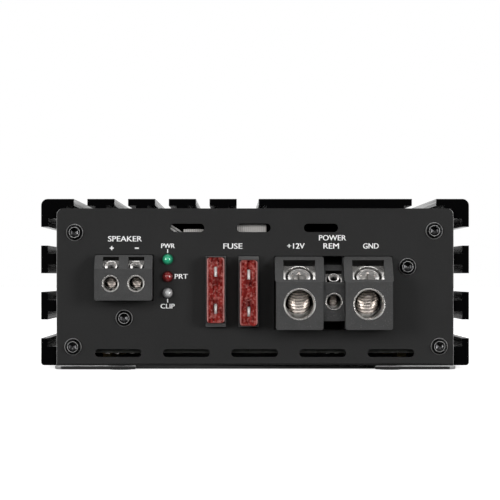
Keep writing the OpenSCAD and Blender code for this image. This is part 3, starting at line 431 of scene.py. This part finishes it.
def fuse_plastic(name, node):
    """Clear red moulding: flow streaks along it, a painted highlight down its two sides and the dark link inside.
    """
    look = Look(name, (0.3, 0.02, 0.016), 0.16)
    low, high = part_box(node)
    streaks = look.squeeze(look.noise(1.0, 3, look.stretched(1500, 700, 330)), 0.36, 0.66)
    mottle = look.noise(1500, 4)
    body = look.blend(streaks, (0.1, 0.004, 0.003), (0.33, 0.03, 0.025))
    half = (high.x - low.x) / 2
    reach = look.size_of(look.squeeze(look.place_along("X"), low.x, high.x, -1.0, 1.0))
    border = look.squeeze(reach, 1 - 0.5 * MM / half, 1 - 0.15 * MM / half)
    frost = look.squeeze(mottle, 0.48, 0.66)
    body = look.blend(look.squeeze(frost, 0, 1, 0, 0.65), body, (0.5, 0.17, 0.15))
    # Painted highlight: a pale band down both sides of the fuse
    body = look.blend(look.squeeze(border, 0, 1, 0, 0.6), body, (0.7, 0.36, 0.34))
    bent = look.waves(1.0, 0, "Z", look.stretched(1, 1, 42))
    link = look.squeeze(reach, 0.42, 0.25)
    body = look.blend(look.times(link, look.squeeze(bent, 0.3, 0.7, 0, 0.55)), body, (0.05, 0.002, 0.002))
    look.link(body, look.shader.inputs["Base Color"])
    look.rough(mottle, 0.12, 0.28)
    look.bump(mottle, 0.05 * MM, 0.5)
    look.set("Transmission Weight", 0.15)
    look.set("IOR", 1.5)
    look.set("Coat Weight", 0.6)
    look.set("Coat Roughness", 0.08)
    return look.material


def lens(name, node, core, rim, glow):
    """Epoxy lamp lens, lighter in the middle than round its edge; the darker edge is painted shade."""
    look = Look(name, core, 0.08)
    low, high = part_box(node)
    middle = (low + high) / 2
    offset = look.tree.nodes.new("ShaderNodeVectorMath")
    offset.operation = "SUBTRACT"
    offset.inputs[1].default_value = (middle.x, 0, middle.z)
    look.link(look.place, offset.inputs[0])
    flat = look.tree.nodes.new("ShaderNodeVectorMath")
    flat.operation = "MULTIPLY"
    flat.inputs[1].default_value = (1, 0, 1)
    look.link(offset.outputs[0], flat.inputs[0])
    reach = look.tree.nodes.new("ShaderNodeVectorMath")
    reach.operation = "LENGTH"
    look.link(flat.outputs[0], reach.inputs[0])
    radius = (high.x - low.x) / 2
    look.tint(core, rim, look.squeeze(reach.outputs["Value"], 0.25 * radius, 0.85 * radius))
    look.bump(look.noise(900, 2), 0.03 * MM, 0.4)
    look.set("Emission Color", (*core, 1))
    look.set("Emission Strength", glow)
    look.set("Coat Weight", 1.0)
    look.set("Coat Roughness", 0.05)
    return look.material


def wound_copper(name):
    """Enamelled wire wound side by side round a ring."""
    look = Look(name, (0.55, 0.2, 0.07), 0.25, 0.9)
    look.tint((0.3, 0.1, 0.03), (0.75, 0.32, 0.12), look.noise(600, 3))
    look.rough(look.noise(900), 0.2, 0.34)
    look.bump(look.noise(1500, 2), 0.02 * MM, 0.3)
    return look.material


def soft_sheet(name, color):
    """Silicone or rubber skin with a fine weave."""
    look = Look(name, color, 0.7)
    look.tint(tuple(0.8 * c for c in color), color, look.noise(500, 2))
    look.rough(look.noise(900), 0.62, 0.8)
    look.bump(look.waves(900, 0.5, "Y"), 0.02 * MM, 0.4)
    return look.material


def sleeve(name, color):
    """Shrink sleeve, glossy with a slight ripple."""
    look = Look(name, color, 0.25)
    look.tint(tuple(0.7 * c for c in color), color, look.noise(200, 2))
    look.rough(look.noise(400), 0.2, 0.34)
    look.bump(look.noise(260, 2), 0.05 * MM, 0.4)
    return look.material


def tinned(name):
    """Dull tin, light even where it faces something dark."""
    look = Look(name, (0.85, 0.83, 0.81), 0.45, 0.25)
    look.tint((0.7, 0.68, 0.66), (0.9, 0.88, 0.86), look.noise(1200, 2))
    look.rough(look.noise(900), 0.38, 0.52)
    look.bump(look.noise(2400, 2), 0.01 * MM, 0.4)
    return look.material


def legend_ink(name):
    look = Look(name, (0.88, 0.88, 0.88), 0.5)
    look.tint((0.8, 0.8, 0.8), (0.95, 0.95, 0.95), look.noise(1500, 2))
    look.bump(look.noise(3000, 2), 0.01 * MM, 0.4)
    return look.material


def make_materials():
    return {
        "black_anodised": anodised("black_anodised"),
        "panel_paint": powder_coat("panel_paint", 0.021, wear_and_highlight="front_panel"),
        "cover_paint": powder_coat("cover_paint", 0.03),
        "black_steel": black_steel("black_steel"),
        "circuit_board": circuit_board("circuit_board"),
        "spacer_metal": plated("spacer_metal", (0.7, 0.55, 0.3), 0.3),
        "zinc_steel": plated("zinc_steel", (0.6, 0.6, 0.6), 0.28),
        "terminal_plastic": moulded("terminal_plastic", 0.056, 0.45, fleck=0.13, specular=0.2,
                                    shade_reach=RECESS_REACH),
        "plated_brass": plated("plated_brass", (0.85, 0.83, 0.8), 0.26, metal=0.8),
        "screw_steel": plated("screw_steel", (1.0, 0.9, 0.83), 0.3, metal=0.7, groove=1.3 * MM),
        "holder_plastic": moulded("holder_plastic", 0.07, 0.45),
        "spring_brass": plated("spring_brass", (0.75, 0.58, 0.3), 0.25),
        "fuse_red": fuse_plastic("fuse_red", "left_fuse_body"),
        "fuse_metal": plated("fuse_metal", (0.8, 0.8, 0.78), 0.3),
        "lamp_green": lens("lamp_green", "power_lamp", (0.03, 0.4, 0.21), (0.004, 0.07, 0.035), 0.2),
        # Only the power lamp is lit: the faint glow of the protect and clip lamps is painted light
        "lamp_red": lens("lamp_red", "protect_lamp", (0.3, 0.03, 0.03), (0.06, 0.003, 0.003), 0.1),
        "lamp_clear": lens("lamp_clear", "clip_lamp", (0.55, 0.55, 0.55), (0.2, 0.2, 0.2), 0.05),
        "lead_tin": plated("lead_tin", (0.9, 0.9, 0.88), 0.3, metal=0.3),
        "nylon": ribbed_nylon("nylon", "sense_plug"),
        "lead_sleeve": sleeve("lead_sleeve", (0.4, 0.05, 0.03)),
        "ferrite": moulded("ferrite", 0.06, 0.6),
        "copper": wound_copper("copper"),
        "capacitor_sleeve": sleeve("capacitor_sleeve", (0.02, 0.02, 0.05)),
        "package_black": moulded("package_black", 0.02, 0.55),
        "thermal_pad": soft_sheet("thermal_pad", (0.4, 0.45, 0.5)),
        "bar_aluminium": plated("bar_aluminium", (0.72, 0.73, 0.74), 0.35, (900, 20, 900)),
        "jack_plastic": moulded("jack_plastic", 0.02, 0.42),
        "jack_ring": sleeve("jack_ring", (0.5, 0.02, 0.02)),
        "nickel": plated("nickel", (0.78, 0.76, 0.7), 0.14),
        "pot_body": moulded("pot_body", 0.05, 0.5),
        "knob_plastic": moulded("knob_plastic", 0.018, 0.5),
        "switch_can": plated("switch_can", (0.6, 0.6, 0.6), 0.3),
        "legend_ink": legend_ink("legend_ink"),
        "test_point": tinned("test_point"),
        # Light steel for the painted highlights on the panel screws' heads
        "highlight_steel": plated("highlight_steel", (0.6, 0.6, 0.6), 0.36, metal=0.72),
        "screw_head": plated("screw_head", (1.0, 0.98, 0.96), 0.2, metal=0.7, groove=1.6 * MM),
    }


def dress_second_fuse():
    """The right fuse has the same moulding, with its border where its own sides are."""
    frame["nodes"]["right_fuse_body"].data.materials[0] = fuse_plastic("fuse_red_right", "right_fuse_body")


def dress_cad_nodes(materials):
    slots = {part["node"]: part["material_slot"] for part in frame["record"]["subparts"]}
    for name, piece in frame["nodes"].items():
        piece.data.materials.clear()
        piece.data.materials.append(materials[slots[name]])


def soften_edges(name, width, segments=2, flat=False):
    """Breaks a CAD node's sharp edges, so that they catch the light as real ones do.

    Flat joins the facets of each flat face first, so that wide bevels leave no lines on it.
    """
    piece = frame["nodes"][name]
    weld = piece.modifiers.new("weld", "WELD")
    weld.merge_threshold = 0.002 * MM
    if flat:
        join = piece.modifiers.new("join", "DECIMATE")
        join.decimate_type = "DISSOLVE"
        join.angle_limit = math.radians(1)
    bevel = piece.modifiers.new("bevel", "BEVEL")
    bevel.width = width
    bevel.segments = segments
    bevel.limit_method = "ANGLE"
    bevel.angle_limit = math.radians(32)
    bevel.use_clamp_overlap = not flat
    normals = piece.modifiers.new("normals", "WEIGHTED_NORMAL")
    normals.weight = 60


# ---------------------------------------------------------------- mesh building

def add_piece(name, shape, material, body, smooth=False):
    mesh = bpy.data.meshes.new(name)
    bmesh.ops.recalc_face_normals(shape, faces=shape.faces)
    shape.to_mesh(mesh)
    shape.free()
    mesh.materials.append(material)
    mesh.polygons.foreach_set("use_smooth", [smooth] * len(mesh.polygons))
    piece = bpy.data.objects.new(name, mesh)
    bpy.context.scene.collection.objects.link(piece)
    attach(piece, body)
    return piece


def span(name, direction):
    """Lowest and highest place of a CAD node's corners along a direction."""
    places = [direction.dot(v.co) for v in frame["nodes"][name].data.vertices]
    return min(places), max(places)


def rings_to_faces(shape, rings):
    """Joins neighbouring rings of equal length with quads and closes both ends with fans."""
    for lower, upper in zip(rings, rings[1:]):
        count = len(lower)
        for i in range(count):
            j = (i + 1) % count
            shape.faces.new((lower[i], lower[j], upper[j], upper[i]))
    for ring in (rings[0], rings[-1]):
        centre = shape.verts.new(sum((v.co for v in ring), Vector()) / len(ring))
        for i in range(len(ring)):
            shape.faces.new((ring[i], ring[(i + 1) % len(ring)], centre))


# ---------------------------------------------------------------- set screws

# Joint, thread pitch, tip bevel, head bevel, socket width and socket depth of each screw, in mm
SET_SCREWS = {
    "positive_set_screw": ("positive_screw_travel", 1.25, 1.17, 0.6, 4.0, 5.0),
    "ground_set_screw": ("ground_screw_travel", 1.25, 1.17, 0.6, 4.0, 5.0),
    "remote_set_screw": ("remote_screw_travel", 0.7, 0.57, 0.28, 1.85, 2.2),
    "speaker_positive_screw": ("speaker_positive_screw_travel", 0.7, 0.65, 0.32, 2.0, 2.4),
    "speaker_negative_screw": ("speaker_negative_screw_travel", 0.7, 0.65, 0.32, 2.0, 2.4),
}
THREAD_DEPTH = 0.56  # of the pitch
SCREW_SIDES = 96
RINGS_A_TURN = 12
# Steps that lead down into the socket: share of the screw's radius, share of the dish's depth
DISH_STEPS = ((0.82, 0), (0.8, 0.22), (0.73, 0.25), (0.71, 0.6), (0.65, 0.63))
SOCKET_REACH = 0.6  # of the screw's radius; faces this near its axis look like its head
SHARP_ANGLE = math.radians(38)


def hexagon(angle, across):
    """How far a hexagon reaches from its middle at an angle."""
    sector = (angle + math.pi / 6) % (math.pi / 3) - math.pi / 6
    return across / 2 / math.cos(sector)


def ring_angles(sides):
    return [2 * math.pi * i / sides for i in range(sides)]


def add_set_screw(node, body, axis, sizes, material, head_material):
    """A hex-socket set screw with a true helical thread, in place of the CAD node's ring grooves."""
    pitch, tip_bevel, head_bevel, socket_across, socket_depth = (size * MM for size in sizes)
    side = ACROSS
    back = axis.cross(side).normalized()
    low_side, high_side = span(node, side)
    low_back, high_back = span(node, back)
    end, head = span(node, axis)
    radius = (high_side - low_side) / 2
    centre = side * (low_side + high_side) / 2 + back * (low_back + high_back) / 2
    depth = THREAD_DEPTH * pitch

    def point(angle, r, t):
        return centre + side * (r * math.cos(angle)) + back * (r * math.sin(angle)) + axis * t

    def envelope(t):
        """Outside radius at t, with both ends bevelled."""
        from_tip = radius - tip_bevel + (t - end)
        from_head = radius - head_bevel + (head - t)
        return max(min(radius, from_tip, from_head), 0)

    def thread(angle, t):
        """Triangular thread with a narrow flat crest and root, wound round the axis."""
        turn = (t / pitch - angle / (2 * math.pi)) % 1
        ridge = min(max(2.3 * abs(turn - 0.5) - 0.08, 0), 1)
        return radius - depth * (1 - ridge)

    shape = bmesh.new()
    rings = []

    def add_ring(reach, t):
        rings.append([shape.verts.new(point(a, reach(a), t)) for a in ring_angles(SCREW_SIDES)])

    steps = int((head - end) / pitch * RINGS_A_TURN)
    for k in range(steps + 1):
        t = end + (head - end) * k / steps
        add_ring(lambda a: min(envelope(t), thread(a, t)), t)
    dish = DISH_STEPS[0][0] * radius - socket_across / math.sqrt(3)
    floor = head - socket_depth
    for share, sunk in DISH_STEPS:
        add_ring(lambda a: share * radius, head - sunk * dish)
    add_ring(lambda a: hexagon(a, socket_across), head - 0.9 * dish)
    add_ring(lambda a: hexagon(a, socket_across), floor)
    add_ring(lambda a: hexagon(a, socket_across) * 0.5, floor - 0.1 * socket_across)
    rings_to_faces(shape, rings)
    for face in shape.faces:
        centre_of_face = face.calc_center_median()
        reach = (centre_of_face - centre - axis * axis.dot(centre_of_face)).length
        if axis.dot(centre_of_face) > head - head_bevel or reach < SOCKET_REACH * radius:
            face.material_index = 1
    piece = add_piece(node + "_threaded", shape, material, body, smooth=True)
    piece.data.materials.append(head_material)
    piece.modifiers.new("sharp", "EDGE_SPLIT").split_angle = SHARP_ANGLE
    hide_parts(node)


def add_set_screws(material, head_material):
    joints = {joint["name"]: joint for joint in frame["joints"]}
    for node, (name, *sizes) in SET_SCREWS.items():
        axis = Vector(joints[name]["axis"]).normalized()
        add_set_screw(node, joints[name]["child"], axis, sizes, material, head_material)


# ---------------------------------------------------------------- panel screws

BUTTON_SIDES = 72
BUTTON_GAP = 5 * MM  # less than the distance between two screws, more than a screw's radius
# Share of the head's radius, height over its underside in mm, whether the ring is six-sided
BUTTON_PROFILE = (
    (1, 0, False), (1, 0.25, False), (0.92, 0.5, False), (0.66, 1.3, False), (0.64, 1.5, False),
    (0.58, 1.5, False), (0.42, 1.15, True), (0.42, 0.5, True), (0.05, 0.1, False),
)
SHANK = 0.5  # of the head's radius
HIGHLIGHT_BANDS = (4, 7)  # bands between rings, counted from the tail, that carry a painted highlight: the rim, and the flat on top


def groups(name, gap):
    """Corners of a CAD node in groups, one for each of its solids that stand apart across the panel."""
    found = []
    for v in frame["nodes"][name].data.vertices:
        for group in found:
            if abs(v.co.x - group[0].x) < gap and abs(v.co.z - group[0].z) < gap:
                group.append(v.co.copy())
                break
        else:
            found.append([v.co.copy()])
    return found


def add_button_screws(node, outward, material, highlight_metal):
    """Button-head screws with hex sockets, in place of a CAD node's; outward is -1 or 1 along Y.

    Painted highlights in light steel lie on the rim and on the flat round the socket, which ends in a drill point.
    """
    shape = bmesh.new()
    for corners in groups(node, BUTTON_GAP):
        middle_x = (min(c.x for c in corners) + max(c.x for c in corners)) / 2
        middle_z = (min(c.z for c in corners) + max(c.z for c in corners)) / 2
        radius = (max(c.x for c in corners) - min(c.x for c in corners)) / 2
        depths = [c.y * outward for c in corners]
        tail, under = min(depths), max(depths) - BUTTON_HEAD

        def ring(share, depth, six_sided=False):
            made = []
            for a in ring_angles(BUTTON_SIDES):
                reach = radius * (hexagon(a, 2 * share) if six_sided else share)
                made.append(shape.verts.new((middle_x + reach * math.cos(a), depth * outward,
                                             middle_z + reach * math.sin(a))))
            return made

        rings = [ring(0.8 * SHANK, tail), ring(SHANK, tail + 0.4 * MM), ring(SHANK, under)]
        for share, height, six_sided in BUTTON_PROFILE:
            rings.append(ring(share, under + height * MM, six_sided))
        first = len(shape.faces)
        rings_to_faces(shape, rings)
        shape.faces.ensure_lookup_table()
        # The painted highlight bands get the light steel
        for band in HIGHLIGHT_BANDS:
            start = first + band * BUTTON_SIDES
            for face in shape.faces[start:start + BUTTON_SIDES]:
                face.material_index = 1
    piece = add_piece(node + "_domed", shape, material, CHASSIS, smooth=True)
    piece.data.materials.append(highlight_metal)
    piece.modifiers.new("sharp", "EDGE_SPLIT").split_angle = SHARP_ANGLE
    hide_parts(node)


# ---------------------------------------------------------------- fuse test points

# Height of each bare place over the fuse's middle, and its length
TEST_POINTS = ((-5.6 * MM, 3.0 * MM), (4.8 * MM, 4.2 * MM))
TEST_POINT_WIDTH = 0.95 * MM
TEST_POINT_DEPTH = 0.62 * MM
TEST_POINT_SUNK = 0.42 * MM
TEST_POINT_BEVEL = 0.2 * MM


def add_test_points(body_node, body, material):
    """The two bare blade tops that show in the slots of a fuse's face."""
    low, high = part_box(body_node)
    middle = (low + high) / 2
    shape = bmesh.new()
    for rise, length in TEST_POINTS:
        size = (TEST_POINT_WIDTH, TEST_POINT_DEPTH, length)
        place = Vector((middle.x, low.y + TEST_POINT_SUNK, middle.z + rise))
        bmesh.ops.create_cube(shape, size=1, matrix=Matrix.Translation(place) @ Matrix.Diagonal((*size, 1)))
    bmesh.ops.bevel(shape, geom=list(shape.edges), offset=TEST_POINT_BEVEL, segments=3, affect="EDGES")
    # The two uncoated blade tops that show in the slots of a fuse's face.
    add_piece(body + "_test_points", shape, material, body, smooth=True)


# ---------------------------------------------------------------- legends

LETTER_BOLD = 0.09 * MM
INK_LIFT = 0.03 * MM
STRIKE_GAP = 0.002 * MM
MARK_COUNT = 11
MARK_FIRST = -60  # degrees
MARK_STEP = 30
MARK_GAP = 1.1 * MM
MARK_LENGTH = 0.9 * MM
MARK_WIDTH = 0.2 * MM


def middle_x(*nodes):
    """Middle of the span that some CAD nodes cover across the case."""
    corners = [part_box(n) for n in nodes]
    return (min(low.x for low, high in corners) + max(high.x for low, high in corners)) / 2


def add_words(name, text, x, z, width, height, y, facing, material):
    """Printed lettering of a given size, its middle at x and its foot at z, struck twice to be bold."""
    curve = bpy.data.curves.new(name, "FONT")
    curve.body = text
    curve.size = 1
    curve.resolution_u = 3
    source = bpy.data.objects.new(name + "_source", curve)
    bpy.context.scene.collection.objects.link(source)
    bpy.context.view_layer.update()
    mesh = bpy.data.meshes.new_from_object(source.evaluated_get(bpy.context.evaluated_depsgraph_get()))
    bpy.data.objects.remove(source)
    corners = [v.co.copy() for v in mesh.vertices]
    low_x, high_x = min(c.x for c in corners), max(c.x for c in corners)
    low_y, high_y = min(c.y for c in corners), max(c.y for c in corners)
    stretch = (width - LETTER_BOLD) / (high_x - low_x)
    rise = height / (high_y - low_y)
    shape = bmesh.new()
    for strike in (-1, 1):
        placed = []
        for c in corners:
            across = (c.x - (low_x + high_x) / 2) * stretch + strike * LETTER_BOLD / 2
            deep = y + strike * STRIKE_GAP
            placed.append(shape.verts.new((x + across * facing, deep, z + (c.y - low_y) * rise)))
        for polygon in mesh.polygons:
            shape.faces.new([placed[i] for i in polygon.vertices])
    bpy.data.meshes.remove(mesh)
    add_piece(name, shape, material, CHASSIS)


def add_tick(name, x, z, width, height, y, material):
    shape = bmesh.new()
    corners = [(-0.5, -0.5), (0.5, -0.5), (0.5, 0.5), (-0.5, 0.5)]
    shape.faces.new([shape.verts.new((x + a * width, y, z + b * height)) for a, b in corners])
    add_piece(name, shape, material, CHASSIS)


def add_front_legends(ink):
    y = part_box("front_panel_screws")[0].y + BUTTON_HEAD - INK_LIFT
    speaker = middle_x("speaker_terminal_housing")
    lamp = middle_x("power_lamp")
    # word, middle across, then foot, width and height in mm
    words = [
        ("SPEAKER", speaker + 0.2 * MM, 37.45, 10.0, 1.6),
        ("PWR", lamp + 0.1 * MM, 35.5, 4.0, 1.35),
        ("PRT", lamp + 4.0 * MM, 26.5, 3.9, 1.38),
        ("CLIP", lamp, 17.75, 4.2, 1.38),
        ("FUSE", middle_x("left_fuse_body", "right_fuse_body") + 0.2 * MM, 35.3, 5.65, 1.6),
        ("+12V", middle_x("positive_clamp") - 0.9 * MM, 35.35, 5.2, 1.58),
        ("POWER", middle_x("remote_clamp") - 0.2 * MM, 37.75, 8.0, 1.6),
        ("REM", middle_x("remote_clamp") - 0.6 * MM, 35.35, 4.6, 1.58),
        ("GND", middle_x("ground_clamp") + 1.0 * MM, 35.35, 4.65, 1.58),
    ]
    for text, x, z, width, height in words:
        name = "legend_" + text.replace("+", "plus_").lower()
        add_words(name, text, x, z * MM, width * MM, height * MM, y, 1, ink)
    plus = middle_x("speaker_positive_clamp")
    minus = middle_x("speaker_negative_clamp")
    mark_z = 35.5 * MM
    add_tick("legend_plus_bar", plus, mark_z, 1.2 * MM, 0.36 * MM, y, ink)
    add_tick("legend_plus_post", plus, mark_z, 0.36 * MM, 1.2 * MM, y - STRIKE_GAP, ink)
    add_tick("legend_minus", minus, mark_z, 1.2 * MM, 0.4 * MM, y, ink)
    add_tick("legend_power_tick", lamp, 34.65 * MM, 0.3 * MM, 1.1 * MM, y, ink)
    add_tick("legend_clip_tick", lamp, 20.05 * MM, 0.3 * MM, 1.1 * MM, y, ink)


def add_rear_legends(ink):
    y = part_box("rear_panel_screws")[1].y - BUTTON_HEAD + INK_LIFT
    foot = 30.6 * MM
    height = 1.5 * MM
    words = [
        ("GAIN", middle_x("gain_knob"), 6.2),
        ("FREQ", middle_x("crossover_knob"), 6.2),
        ("BASS", middle_x("bass_knob"), 6.2),
        ("FILTER", middle_x("filter_switch_body"), 8.2),
        ("LEVEL", middle_x("remote_level_socket"), 7.4),
        ("INPUT", middle_x("input_jack_shells"), 7.4),
    ]
    for text, x, width in words:
        add_words("rear_legend_" + text.lower(), text, x, foot, width * MM, height, y, -1, ink)
    for name in ("gain_knob", "crossover_knob", "bass_knob"):
        add_knob_marks(name, y, ink)


def add_knob_marks(name, y, ink):
    """Short printed strokes round a knob."""
    low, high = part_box(name)
    middle = Vector(((low.x + high.x) / 2, y, (low.z + high.z) / 2))
    near = (high.x - low.x) / 2 + MARK_GAP
    far = near + MARK_LENGTH
    half = MARK_WIDTH / 2
    for i in range(MARK_COUNT):
        angle = math.radians(MARK_FIRST + MARK_STEP * i)
        outward = Vector((math.cos(angle), 0, math.sin(angle)))
        sideways = Vector((-math.sin(angle), 0, math.cos(angle)))
        shape = bmesh.new()
        corners = [(near, -half), (far, -half), (far, half), (near, half)]
        shape.faces.new([shape.verts.new(middle + outward * a + sideways * b) for a, b in corners])
        add_piece(f"{name}_mark_{i}", shape, ink, CHASSIS)


# ---------------------------------------------------------------- putting it together

# Width of the softened edges in mm
SOFT_EDGES = {
    "heatsink": 0.18,
    "supply_terminal_housing": 0.25,
    "speaker_terminal_housing": 0.25,
    "left_fuse_holder": 0.14,
    "right_fuse_holder": 0.14,
    "positive_clamp": 0.07,
    "ground_clamp": 0.07,
    "remote_clamp": 0.07,
    "speaker_positive_clamp": 0.07,
    "speaker_negative_clamp": 0.07,
}
FUSE_EDGE = 0.3 * MM
PANEL_EDGE = 0.2 * MM


def main():
    bpy.context.scene.view_settings.view_transform = "Standard"
    add_world()
    add_camera()
    add_lights()
    add_floor()
    materials = make_materials()
    dress_cad_nodes(materials)
    dress_second_fuse()
    for name, width in SOFT_EDGES.items():
        soften_edges(name, width * MM)
    for name in ("left_fuse_body", "right_fuse_body"):
        soften_edges(name, FUSE_EDGE, segments=3)
    for name in ("front_panel", "rear_panel"):
        soften_edges(name, PANEL_EDGE, flat=True)
    add_set_screws(materials["screw_steel"], materials["screw_head"])
    for name in ("front_panel_screws", "rear_panel_screws", "terminal_fixing_screws"):
        outward = 1 if name.startswith("rear") else -1
        add_button_screws(name, outward, materials["black_steel"], materials["highlight_steel"])
    for side in ("left", "right"):
        add_test_points(side + "_fuse_body", side + "_fuse", materials["test_point"])
    add_front_legends(materials["legend_ink"])
    add_rear_legends(materials["legend_ink"])


main()
